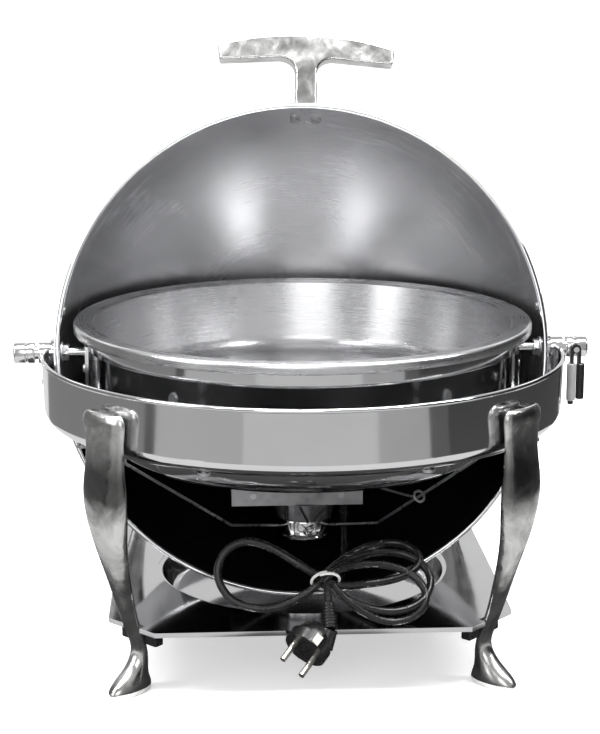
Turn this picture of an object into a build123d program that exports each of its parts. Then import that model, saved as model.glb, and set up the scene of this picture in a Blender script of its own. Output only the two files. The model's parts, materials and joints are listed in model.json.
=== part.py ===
from build123d import *
import math
import os

# Round roll-top chafing dish with an electric heater. Millimetres, +Z up, front towards -Y.
# The origin is on the floor, under the middle of the ring. The lid is modelled rolled open.

# ---- Driving dimensions ----
PIVOT_Z = 250.0           # lid axis above the floor
OPEN_ANGLE = 103.0        # lid travel from closed to open
SHEET = 1.5               # steel sheet of the ring and the shelf
PAN_SHEET = 1.2           # steel sheet of the pans
FIT = 0.3                 # gap between pieces that move past each other
PIN_PLAY = 0.05           # radial play of the lid's bushes on the pivot pins

RING_TOP_R = 223.5
RING_FOOT_R = 222.0
RING_LIP_R = 208.5
RING_HEIGHT = 53.5
RING_CORNER_R = 12.0
BEAD_R = 1.9

LID_INNER_R = 208.5
LID_OUTER_R = 210.5
LID_DROP = 10.0           # how far the lid's rim hangs below the axis when closed
HEM_INNER_R = 207.5
HEM_OUTER_R = 211.8
HEM_HEIGHT = 4.3
HINGE_PLATE_R = 46.0
HINGE_PLATE_T = 2.6

PIN_R = 4.0
BUSH_R = 9.5
LID_BUSH_R = 7.6
KNOB_R = 9.3
KNOB_END_X = 247.5
HANGER_X = 183.5
HANGER_T = 3.0

WATER_WALL_R = 181.5
WATER_COLLAR_R = 187.0
WATER_BOTTOM = -84.0      # heights from here on are measured from the lid axis
WATER_CORNER_R = 34.0
WATER_STEP = 9.5
FOOD_RIM_R = 194.8
FOOD_RIM_TOP = 30.0
FOOD_RIM_EDGE = 21.5
FOOD_WALL_R = 178.0
FOOD_BOTTOM = -36.0

LEG_ANGLES = {"front_left": -45.0, "front_right": 45.0, "rear_right": 135.0, "rear_left": -135.0}
SHELF_HALF = 165.0
SHELF_TOP = -194.0
SHELF_CORNER_RHO = 206.5  # distance of the cut corners from the middle
WELL_R = 125.0
WELL_FLOOR = -217.0

HANDLE_ANGLE = 10.0       # handle above the front horizon when the lid is closed
HANDLE_TWIST = -2.0       # the handle sits a little off the middle of the lid

HEATER_X = -6.0
CUP_X = 1.5


# ---- Small helpers ----
def up(height):
    """Height above the floor of a height measured from the lid axis."""
    return PIVOT_Z + height


def spot(point):
    """Place given as X, Y and a height from the lid axis."""
    return Vector(point[0], point[1], up(point[2]))


def around(angle):
    """Unit vector from the middle towards an angle measured from the front, right positive."""
    turn = math.radians(angle)
    return Vector(math.sin(turn), -math.cos(turn), 0)


def radial_frame(angle, rho, height):
    """Plane at a place around the ring: x is tangential, z points outwards, y points up."""
    out = around(angle)
    return Plane(origin=out * rho + Vector(0, 0, up(height)), x_dir=Vector(-out.Y, out.X, 0), z_dir=out)


def along_x(start, end, radius, y=0.0, height=0.0):
    """Round bar along X between two X positions."""
    face = Plane(origin=(start, y, up(height)), x_dir=(0, 1, 0), z_dir=(1, 0, 0)) * Circle(radius)
    return extrude(face, amount=end - start)


def turned_sheet(points, radii, thickness):
    """Sheet metal turned about Z; points are (radius, height) on its outer face."""
    spots = [(r, up(h)) for r, h in points]
    path = FilletPolyline(*spots, radius=radii) if radii else Polyline(*spots)
    outline = offset(path, amount=thickness, side=Side.LEFT)
    return revolve(Plane.XZ * make_face(outline), Axis.Z)


def turned(points):
    """Solid turned about Z from a closed outline of (radius, height) points."""
    outline = Polyline(*[(r, up(h)) for r, h in points], close=True)
    return revolve(Plane.XZ * make_face(outline), Axis.Z)


def on_lid(solid):
    """Roll a piece of the lid, drawn closed, back to the open position."""
    return solid.rotate(Axis((0, 0, PIVOT_Z), (1, 0, 0)), -OPEN_ANGLE)


def sphere_plane(azimuth, elevation, radius):
    """Plane on the closed lid with z pointing outwards and x level."""
    out = around(azimuth) * math.cos(math.radians(elevation))
    out = out + Vector(0, 0, math.sin(math.radians(elevation)))
    flat = around(azimuth)
    return Plane(origin=out * radius + Vector(0, 0, PIVOT_Z), x_dir=Vector(-flat.Y, flat.X, 0), z_dir=out)


def mirrored_pair(solid):
    return [solid, solid.mirror(Plane.YZ)]


# ---- Ring ----
def ring_band():
    wall = turned_sheet(
        [(RING_LIP_R, -RING_HEIGHT), (RING_FOOT_R, -RING_HEIGHT), (RING_TOP_R, 0)], RING_CORNER_R, SHEET
    )
    bead = Pos(0, 0, up(0)) * Torus(RING_TOP_R - 0.4, BEAD_R)
    band = wall + bead
    notch_r = BUSH_R + FIT
    for side in (-1, 1):
        band -= along_x(side * 215.0, side * 230.0, notch_r)
        band -= Pos(side * RING_TOP_R, 0, up(notch_r)) * Box(20, 2 * notch_r, 2 * notch_r)
    return band


def hinge_bracket():
    """Shield-shaped saddle inside the ring wall, drawn on the right side."""
    shield = Polyline((-15, 6), (15, 6), (15, -14), (7, -34), (-7, -34), (-15, -14), close=True)
    plane = Plane(origin=(216.3, 0, PIVOT_Z), x_dir=(0, 1, 0), z_dir=(1, 0, 0))
    block = extrude(plane * make_face(shield), amount=10)
    block = block & Pos(0, 0, PIVOT_Z) * Cylinder(220.9, 200)
    return block - along_x(210, 230, BUSH_R)


def bracket_rivet():
    head = along_x(215.2, 216.3, 4.0, height=-24)
    tail = along_x(222.6, 224.2, 3.6, height=-24)
    shank = along_x(216.3, 222.6, 2.0, height=-24)
    return head + shank + tail


def stand_bush():
    return along_x(215.3, 226.0, BUSH_R) - along_x(215.0, 227.0, PIN_R)


def pivot_pin():
    return along_x(HANGER_X, 240.0, PIN_R)


def knob():
    grip = along_x(229.5, KNOB_END_X, KNOB_R)
    grip = chamfer(grip.edges().filter_by(GeomType.CIRCLE), 0.8)
    neck = along_x(226.0, 229.5, 6.0)
    return grip + neck - along_x(225.0, 240.0, PIN_R)


def pivot_nut():
    plane = Plane(origin=(200.8, 0, PIVOT_Z), x_dir=(0, 1, 0), z_dir=(1, 0, 0))
    nut = extrude(plane * RegularPolygon(7.5, 6), amount=5.0)
    return nut - along_x(200, 207, PIN_R)


def pivot_washer():
    return along_x(205.8, 206.9, 9.0) - along_x(205, 208, PIN_R)


# ---- Legs ----
LEG_SECTIONS = [
    # height, distance from the middle, radial thickness, tangential width
    (-13.0, 230.6, 6.0, 30.0),
    (-14.6, 230.8, 11.0, 40.0),
    (-19.0, 231.0, 14.0, 45.0),
    (-30.0, 230.6, 13.6, 43.8),
    (-48.0, 230.6, 14.0, 41.0),
    (-78.0, 231.4, 18.5, 46.5),
    (-100.0, 230.0, 18.0, 43.8),
    (-120.0, 227.0, 15.5, 36.5),
    (-142.0, 221.5, 13.0, 28.5),
    (-165.0, 215.0, 11.5, 22.0),
    (-185.0, 209.0, 10.5, 18.0),
    (-205.0, 201.5, 10.5, 15.8),
    (-216.0, 198.5, 11.5, 15.2),
    (-227.0, 200.5, 18.0, 16.4),
    (-237.0, 206.0, 31.0, 19.5),
    (-245.0, 209.0, 42.0, 22.0),
    (-250.0, 209.5, 43.0, 21.0),
]


def leg(angle):
    out = around(angle)
    faces = []
    for height, rho, thick, width in LEG_SECTIONS:
        plane = Plane(origin=out * rho + Vector(0, 0, up(height)), x_dir=out, z_dir=(0, 0, 1))
        faces.append(plane * Ellipse(thick / 2, width / 2))
    return loft(faces)


LEG_BOLT_HEIGHTS = (-20.0, -38.0)


def leg_bolt(angle, height):
    """Pan-head screw from inside the ring into the leg."""
    head = extrude(radial_frame(angle, 218.4, height) * Circle(5.5), amount=2.6)
    shank = extrude(radial_frame(angle, 221.0, height) * Circle(3.0), amount=9.0)
    return head + shank


# ---- Shelf ----
def octagon(half, rho):
    """Square with cut corners: half width, and distance of the cuts from the middle."""
    cut = rho * math.sqrt(2) - half
    corner = [(half, -cut), (half, cut), (cut, half), (-cut, half)]
    return Polyline(*corner, *[(-x, -y) for x, y in corner], close=True)


def shelf():
    plate = extrude(Pos(0, 0, up(SHELF_TOP)) * make_face(octagon(SHELF_HALF, SHELF_CORNER_RHO)), amount=-SHEET)
    edge = extrude(Pos(0, 0, up(SHELF_TOP)) * make_face(octagon(SHELF_HALF, SHELF_CORNER_RHO)), amount=-4.0)
    inner = make_face(octagon(SHELF_HALF - SHEET, SHELF_CORNER_RHO - SHEET))
    edge -= extrude(Pos(0, 0, up(SHELF_TOP) + 1) * inner, amount=-6.0)
    well = turned_sheet(
        [(0, WELL_FLOOR - SHEET), (WELL_R - 8, WELL_FLOOR - SHEET), (WELL_R, SHELF_TOP - SHEET),
         (WELL_R + 6, SHELF_TOP - SHEET)],
        [6.0, 3.0], SHEET,
    )
    hole = Pos(0, 0, up(SHELF_TOP)) * Cylinder(WELL_R + 4, 10)
    tray = plate + edge - hole + well
    for angle in LEG_ANGLES.values():
        notch = radial_frame(angle, 203.5 + 4.0, SHELF_TOP) * Box(19.0, 20.0, 15.0)
        tray -= notch
    return tray


def shelf_lug(angle):
    """Black corner block under the shelf, against the inner side of a leg."""
    block = radial_frame(angle, 194.5, SHELF_TOP - 4.0 - 6.2) * Box(40.0, 12.0, 9.0)
    return fillet(block.edges(), 1.2)


def shelf_screw(angle):
    head = extrude(radial_frame(angle, 187.6, SHELF_TOP - 10.2) * Circle(4.0), amount=2.4)
    shank = extrude(radial_frame(angle, 190.0, SHELF_TOP - 10.2) * Circle(2.0), amount=12.0)
    return head + shank


# ---- Pans and their cradle ----
def water_pan():
    return turned_sheet(
        [(0, WATER_BOTTOM), (WATER_WALL_R, WATER_BOTTOM), (WATER_WALL_R, WATER_STEP),
         (WATER_COLLAR_R, WATER_STEP), (WATER_COLLAR_R, FOOD_RIM_TOP - 2.4)],
        [WATER_CORNER_R, 1.5, 1.5], PAN_SHEET,
    )


def food_pan():
    return turned_sheet(
        [(0, FOOD_BOTTOM), (FOOD_WALL_R - 6, FOOD_BOTTOM), (FOOD_WALL_R, FOOD_RIM_TOP - 3.0),
         (FOOD_RIM_R, FOOD_RIM_TOP - 1.2), (FOOD_RIM_R, FOOD_RIM_EDGE)],
        [14.0, 2.5, 2.6], PAN_SHEET,
    )


HOOP_TOP = -40.0
HOOP_BOTTOM = -60.0
HOOP_OUTER_R = 183.3


def cradle_hoop():
    return turned([(181.8, HOOP_BOTTOM), (HOOP_OUTER_R, HOOP_BOTTOM), (HOOP_OUTER_R, HOOP_TOP), (181.8, HOOP_TOP)])


def hanger():
    """Plate inside the lid that ties the pivot pin to the hoop, drawn on the right."""
    outline = Polyline((-20, HOOP_BOTTOM), (20, HOOP_BOTTOM), (9, 7.0), (-9, 7.0), close=True)
    plane = Plane(origin=(HANGER_X, 0, PIVOT_Z), x_dir=(0, 1, 0), z_dir=(1, 0, 0))
    return extrude(plane * make_face(outline), amount=HANGER_T) - along_x(180, 190, PIN_R)


def hanger_screw(height):
    head = along_x(HANGER_X + HANGER_T, HANGER_X + HANGER_T + 2.4, 3.6, height=height)
    shank = along_x(HANGER_X, HANGER_X + HANGER_T, 2.0, height=height)
    return head + shank


STRAP_ANGLE = 72.0


def cradle_strap(angle):
    """Upright flat bar from the hoop to the collar of the water pan."""
    top = WATER_STEP
    middle = (top + HOOP_BOTTOM) / 2
    return radial_frame(angle, HOOP_OUTER_R + 1.5, middle) * Box(25.0, top - HOOP_BOTTOM, 2.0)


ARM_ANGLES = (-60.0, -24.0, 24.0, 60.0)
ARM_T = 4.0
ARM_BOLT_RHO = 211.8
ARM_END_RHO = 215.5


def cradle_arm(angle):
    """Flat bar from the hoop to the inward lip of the ring, in the quarter the lid never sweeps."""
    height = -RING_HEIGHT + SHEET + ARM_T / 2
    bar = radial_frame(angle, (HOOP_OUTER_R + ARM_END_RHO) / 2, height) * Box(16.0, ARM_T, ARM_END_RHO - HOOP_OUTER_R)
    out = around(angle) * ARM_BOLT_RHO
    return bar - Pos(out.X, out.Y, up(height)) * Cylinder(2.5, 20)


def arm_bolt(angle):
    out = around(angle) * ARM_BOLT_RHO
    place = Pos(out.X, out.Y, up(-RING_HEIGHT))
    head = place * Pos(0, 0, -1.2) * Cylinder(5.0, 2.4)
    shank = place * Pos(0, 0, 4.5) * Cylinder(2.5, 9.0)
    nut = extrude(place * Pos(0, 0, SHEET + ARM_T) * RegularPolygon(4.6, 6), amount=3.0)
    return head + shank + nut


# ---- Lid ----
def lid_shell():
    ball = Pos(0, 0, PIVOT_Z) * Sphere(LID_OUTER_R) - Pos(0, 0, PIVOT_Z) * Sphere(LID_INNER_R)
    shell = ball - Pos(0, 0, up(HEM_HEIGHT / 2 - LID_DROP) - 150) * Box(500, 500, 300)
    for side in (-1, 1):
        shell -= along_x(side * 200, side * 220, LID_BUSH_R)
    return on_lid(shell)


def lid_hem():
    """Rolled edge of the lid, round in section."""
    return on_lid(Pos(0, 0, up(-LID_DROP)) * Torus((HEM_INNER_R + HEM_OUTER_R) / 2, HEM_HEIGHT / 2))


def lid_hinge_plate():
    """Curved round plate riveted outside the lid at the pivot, cut off above the hem."""
    inner = LID_OUTER_R + 0.05
    outer = LID_OUTER_R + HINGE_PLATE_T
    reach = math.degrees(math.asin(HINGE_PLATE_R / outer))
    arc_out = CenterArc((0, 0), outer, 0, reach)
    arc_in = CenterArc((0, 0), inner, 0, reach)
    sides = [Line(arc_in @ 0, arc_out @ 0), Line(arc_in @ 1, arc_out @ 1)]
    profile = make_face([arc_out, arc_in] + sides)
    cap = revolve(Plane.XZ * profile, Axis.X)
    cap = Pos(0, 0, PIVOT_Z) * cap
    cap -= along_x(200, 220, LID_BUSH_R)
    below = HEM_HEIGHT / 2 + 0.3 - LID_DROP
    return cap - Pos(outer, 0, up(below) - 50) * Box(60, 200, 100)


def lid_bush():
    return along_x(207.2, 215.0, LID_BUSH_R) - along_x(207, 216, PIN_R + PIN_PLAY)


RIVET_SPOTS = ((9.8, 0.5), (-9.8, 0.5), (0.0, 9.5))   # degrees along and up from the pivot


def lid_rivet(side, along, height):
    plane = sphere_plane(side * 90.0 + along, height, LID_INNER_R)
    shank = extrude(plane * Circle(2.0), amount=5.4)
    inner = extrude(plane * Circle(3.4), amount=-1.4)
    outer = extrude(plane.offset(LID_OUTER_R + HINGE_PLATE_T - LID_INNER_R) * Circle(3.6), amount=1.2)
    return shank + inner + outer


def twist_on_lid(solid):
    """Turn a piece about the closed lid's upright axis, then roll it open."""
    return on_lid(solid.rotate(Axis((0, 0, PIVOT_Z), (0, 0, 1)), -HANDLE_TWIST))


HANDLE_HALF = 78.5
HANDLE_DEPTH = 15.0
HANDLE_STEM = 19.0


def handle():
    """Cast T: a gently arched bar on a stem, standing out from the lid."""
    top_mid = 284.5 - LID_OUTER_R
    top_end = 273.0 - LID_OUTER_R
    low_end = 259.0 - LID_OUTER_R
    low_mid = 263.0 - LID_OUTER_R
    half = HANDLE_STEM / 2
    outline = [
        Spline((-HANDLE_HALF, top_end), (-40, top_mid - 2.4), (0, top_mid), (40, top_mid - 2.4),
               (HANDLE_HALF, top_end)),
        Line((HANDLE_HALF, top_end), (HANDLE_HALF - 1.5, low_end)),
        Line((HANDLE_HALF - 1.5, low_end), (half + 14, low_mid)),
        Spline((half + 14, low_mid), (half + 3, low_mid - 5), (half, low_mid - 18)),
        Line((half, low_mid - 18), (half, 6)),
        Line((half, 6), (half + 6, 1.6)),
        Line((half + 6, 1.6), (-half - 6, 1.6)),
        Line((-half - 6, 1.6), (-half, 6)),
        Line((-half, 6), (-half, low_mid - 18)),
        Spline((-half, low_mid - 18), (-half - 3, low_mid - 5), (-half - 14, low_mid)),
        Line((-half - 14, low_mid), (-HANDLE_HALF + 1.5, low_end)),
        Line((-HANDLE_HALF + 1.5, low_end), (-HANDLE_HALF, top_end)),
    ]
    face = make_face(outline)
    base = sphere_plane(0.0, HANDLE_ANGLE, LID_OUTER_R)
    side = Plane(origin=base.origin, x_dir=base.x_dir, z_dir=-base.y_dir)
    # the side plane's y points outwards from the lid
    bar = extrude(side.offset(-HANDLE_DEPTH / 2) * face, amount=HANDLE_DEPTH)
    bar = fillet(bar.edges(), 2.0)
    foot = Pos(0, 0, 0) * (base * Cylinder(16.0, 6.0))
    foot = foot - Pos(0, 0, PIVOT_Z) * Sphere(LID_OUTER_R + 0.05)
    return twist_on_lid(bar + foot)


def handle_screw(offset_x):
    plane = sphere_plane(0.0, HANDLE_ANGLE, LID_INNER_R)
    place = plane * Pos(offset_x, 0, 0)
    head = place * Pos(0, 0, -1.4) * Cylinder(4.2, 2.8)
    shank = place * Pos(0, 0, 4.0) * Cylinder(2.2, 8.0)
    return twist_on_lid(head + shank)


# ---- Heater ----
CHANNEL_BOTTOM = -133.0
CHANNEL_WIDTH = 48.0
CHANNEL_LEFT = -62.6
CHANNEL_RIGHT = 51.0
CHANNEL_WALL = 16.0
HEATER_SHEET = 1.2
PLATE_UNDER = -94.0
NECK_BOTTOM = -148.5
CUP_BOTTOM = -165.5
CUP_R = 23.5
ROD_R = 1.2
HOOK_WIRE_R = 1.1
LEFT_HOOK = (-148.4, -140.0, -60.8)
LEFT_BEND = (-63.3, -40.0, -145.0)
RIGHT_HOOK = (127.6, -158.0, -57.5)
RIGHT_BEND = (62.4, -40.0, -145.1)
WIRE_STANDOFF = 1.9       # lead wires from the wall of the neck


def block(x0, x1, y0, y1, z0, z1):
    """Box between two corners, heights from the lid axis."""
    return Pos((x0 + x1) / 2, (y0 + y1) / 2, up((z0 + z1) / 2)) * Box(x1 - x0, y1 - y0, z1 - z0)


def heater_plate():
    return Pos(HEATER_X, 0, up((PLATE_UNDER + WATER_BOTTOM) / 2)) * Cylinder(75.0, WATER_BOTTOM - PLATE_UNDER)


def insulation_block():
    return block(-50, 38, -20, 20, CHANNEL_BOTTOM + HEATER_SHEET, PLATE_UNDER)


def heater_channel():
    half = CHANNEL_WIDTH / 2
    top = CHANNEL_BOTTOM + CHANNEL_WALL
    tray = block(CHANNEL_LEFT, CHANNEL_RIGHT, -half, half, CHANNEL_BOTTOM, top)
    tray -= block(CHANNEL_LEFT + HEATER_SHEET, CHANNEL_RIGHT - HEATER_SHEET, -half + HEATER_SHEET,
                  half - HEATER_SHEET, CHANNEL_BOTTOM + HEATER_SHEET, top + 5)
    for edge, side in ((CHANNEL_LEFT, -1), (CHANNEL_RIGHT, 1)):
        reach = edge + side * 6.0
        tray += block(min(edge, reach), max(edge, reach), -12, 12, top - HEATER_SHEET, top)
    return tray


def channel_screws():
    screws = []
    half = CHANNEL_WIDTH / 2
    for x in (-44.0, 32.0):
        for side in (-1, 1):
            plane = Plane(origin=(x, side * half, up(CHANNEL_BOTTOM + 9)), z_dir=(0, side, 0))
            head = extrude(plane * Circle(2.8), amount=1.6)
            shank = extrude(plane * Circle(1.5), amount=-4.0)
            screws.append(head + shank)
    return screws


def heater_neck():
    """Tapered sheet-metal neck between the channel and the cup."""
    return turned_sheet([(CUP_R, NECK_BOTTOM), (26.7, CHANNEL_BOTTOM)], None, 0.8).moved(Location((CUP_X, 0, 0)))


def heater_cup():
    cup = turned_sheet([(0, CUP_BOTTOM), (CUP_R, CUP_BOTTOM), (CUP_R, NECK_BOTTOM)], [5.0], 1.0)
    return cup.moved(Location((CUP_X, 0, 0)))


def thermostat():
    return Pos(CUP_X, 0, up(CHANNEL_BOTTOM - 8.0)) * Cylinder(15.0, 16.0)


def front_of_neck(x, radius):
    """Y of a wire that runs down the front of the neck."""
    return -math.sqrt((radius + WIRE_STANDOFF) ** 2 - (x - CUP_X) ** 2)


def lead_wires():
    wires = []
    for top, low in ((-16.0, -15.6), (-4.0, 3.4), (22.0, 8.0), (24.0, 23.0)):
        start = (top, front_of_neck(top, 26.7), up(CHANNEL_BOTTOM - 0.8))
        path = Line(start, (low, front_of_neck(low, CUP_R), up(NECK_BOTTOM)))
        wires.append(sweep(Plane(path @ 0, z_dir=path % 0) * Circle(0.8), path=path))
    return wires


def bent_rod(points, bend, radius=ROD_R):
    path = FilletPolyline(*[(x, y, up(z)) for x, y, z in points], radius=bend)
    return sweep(Plane(path @ 0, z_dir=path % 0) * Circle(radius), path=path)


def support_rod(side, hook, bend):
    """Wire that carries the heater: hooked over the ring's lip, then down and across to the cup."""
    rim = Vector(hook[0], hook[1], 0).normalized()
    lip_top = -RING_HEIGHT + SHEET + ROD_R
    tip = rim * 212.0
    turn = rim * 204.6
    cup_end = (CUP_X + side * (CUP_R - 0.9), -6.5, -156.2)
    points = [(tip.X, tip.Y, lip_top), (turn.X, turn.Y, lip_top), hook, bend, cup_end]
    return bent_rod(points, [2.5, 3.5, 9.0])


def hook_wire():
    """Wire from the heater channel to an eye on the right-hand support rod."""
    along = (spot(RIGHT_HOOK) - spot(RIGHT_BEND)).normalized()
    middle = spot(RIGHT_BEND) + along * 72.0
    eye = Plane(origin=middle, z_dir=along) * Torus(4.6, HOOK_WIRE_R)
    end = middle + along.cross(Vector(0, 0, 1)).normalized() * 4.6
    points = [(38.0, -11.0, -115.6), (56.0, -24.0, -115.2), (80.0, -65.0, -111.9)]
    points.append((end.X, end.Y, end.Z - PIVOT_Z))
    return bent_rod(points, 12.0, HOOK_WIRE_R) + eye


# ---- Latch on the right knob ----
LATCH_X = 235.6
LATCH_PIVOT = 0.5
LATCH_Y = -13.8


def latch_pin():
    plane = Plane(origin=(LATCH_X, -8.4, up(LATCH_PIVOT)), z_dir=(0, -1, 0))
    return extrude(plane * Circle(1.2), amount=8.6) + extrude(plane.offset(8.6) * Circle(2.4), amount=1.2)


def latch_yoke():
    """Black strap, round at the top, that hangs on the pin in front of the knob."""
    outline = Plane(origin=(LATCH_X, -10.0, up(0)), x_dir=(1, 0, 0), z_dir=(0, -1, 0))
    top = outline * Pos(0, LATCH_PIVOT) * Circle(4.6)
    legs = outline * Pos(0.2, -7.2) * Rectangle(9.2, 15.4)
    slot = outline * Pos(0.2, -9.0) * Rectangle(3.4, 12.0)
    hole = outline * Pos(0, LATCH_PIVOT) * Circle(1.2 + FIT / 3)
    return extrude(top + legs - slot - hole, amount=5.2)


def latch_sleeve(x, radius, low):
    body = Pos(x, LATCH_Y, up((low - 12.4) / 2)) * Cylinder(radius, -12.4 - low)
    return chamfer(body.edges().filter_by(GeomType.CIRCLE), 0.6)


def latch_tip():
    return Pos(232.2, LATCH_Y, up(-46.6)) * Cylinder(2.5, 3.2)


# ---- Mains cord, its hank and plug ----
CORD_D = 6.6
TIE = (10.0, -148.0, -158.0)
FEED_ROUTE = [(36, -4, -149), (36, -19.6, -170), (32, -50, -186), (24, -85, -184), (15, -118, -171), (10, -145, -159)]
LOOP_ROUTE = [(6, -148, -157), (-13, -142, -145), (-33, -134, -134), (-53, -127.5, -129.5), (-71, -127, -138),
              (-78, -132.5, -157), (-69, -141, -174), (-49.5, -147, -182), (-28, -150, -180), (-10, -151, -171.5),
              (6, -149, -160)]
TAIL_ROUTE = [(10, -148, -158), (10.3, -161, -160), (10.8, -174, -168)]
RELIEF_DIR = (0.03, -0.6, -0.8)
GLAND_DIR = (0.0, -0.6, -0.8)
PLUG_FACE = (-9.0, -193.0, -199.4)
PLUG_DIR = (-0.572, -0.645, -0.506)
PIN_AXIS = (0.743, -0.145, -0.653)


def cord_tube(name, points):
    """Cord along straight runs joined by arcs as large as the runs allow."""
    spots = [Vector(x, y, up(z)) for x, y, z in points]
    runs = [b - a for a, b in zip(spots, spots[1:])]
    radii = []
    for before, after in zip(runs, runs[1:]):
        half_turn = math.radians(before.get_angle(after) / 2)
        radii.append(0.45 * min(before.length, after.length) / math.tan(half_turn))
    path = FilletPolyline(*spots, radius=radii)
    tube = sweep(Plane(path @ 0, z_dir=path % 0) * Circle(CORD_D / 2), path=path)
    section = math.pi * CORD_D ** 2 / 4
    print(name, "radii", [round(r, 1) for r in radii], "length", round(path.length, 1),
          "volume share", round(tube.volume / (section * path.length), 4))
    return tube


def taper(start, direction, length, start_r, end_r):
    """Cone frustum from a point along a direction."""
    plane = Plane(origin=spot(start), z_dir=direction)
    return loft([plane * Circle(start_r), plane.offset(length) * Circle(end_r)])


COIL_MIDDLE = (60.0, -131.0, -165.0)
COIL_WIDE = 37.0
COIL_HIGH = 29.0
COIL_THICK = 8.6
COIL_LEAN = 50.0


def cord_hank():
    """Outer shape of the three turns at the right and of the strands gathered in the tie."""
    lean = math.radians(COIL_LEAN)
    plane = Plane(origin=spot(COIL_MIDDLE), x_dir=(1, 0, 0), z_dir=(0, -math.cos(lean), math.sin(lean)))
    path = (plane * Ellipse(COIL_WIDE, COIL_HIGH)).edge()
    ring = sweep(Plane(path @ 0, z_dir=path % 0) * Circle(COIL_THICK), path=path)
    return ring + Pos(*spot(TIE)) * Sphere(10.0)


def cord_tie():
    return Plane(origin=spot(TIE), z_dir=(0.15, -0.75, -0.65)) * Torus(11.1, 1.1)


def cord_gland():
    plane = Plane(origin=(36, 8, up(CHANNEL_BOTTOM)), z_dir=(0, 0, -1))
    collar = extrude(plane * Circle(8.0), amount=3.0)
    return collar + taper((36, 9.8, -130.6), GLAND_DIR, 23.0, 6.0, 4.2) - block(20, 50, -20, 30, CHANNEL_BOTTOM, -120)


def plug_strain_relief():
    return taper(TAIL_ROUTE[-1], RELIEF_DIR, 21.0, 4.4, 6.0)


def plug_body():
    back = Vector(*PLUG_DIR) * -1
    face = Plane(origin=spot(PLUG_FACE), z_dir=back)
    disc = extrude(face * Circle(18.0), amount=9.0)
    rear = loft([face.offset(9.0) * Circle(15.5), face.offset(19.0) * Circle(12.5), face.offset(24.0) * Circle(7.0)])
    start = Vector(*TAIL_ROUTE[-1]) + Vector(*RELIEF_DIR) * 21.0
    spout = taper((start.X, start.Y, start.Z), (-0.42, -0.15, -0.9), 15.0, 6.0, 8.5)
    return disc + rear + spout


def plug_pins():
    out = Vector(*PLUG_DIR)
    pins = []
    for side in (-1, 1):
        middle = spot(PLUG_FACE) + Vector(*PIN_AXIS) * (9.5 * side)
        pins.append(extrude(Plane(origin=middle, z_dir=out) * Circle(2.4), amount=19.0))
    return pins


def earth_clips():
    across = Vector(*PLUG_DIR).cross(Vector(*PIN_AXIS))
    clips = []
    for side in (-1, 1):
        middle = spot(PLUG_FACE) - Vector(*PLUG_DIR) * 4.5 + across * (18.3 * side)
        plane = Plane(origin=middle, x_dir=Vector(*PIN_AXIS), z_dir=across * side)
        clips.append(plane * Box(6.0, 8.6, 1.2))
    return clips


PIECES = {}


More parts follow.
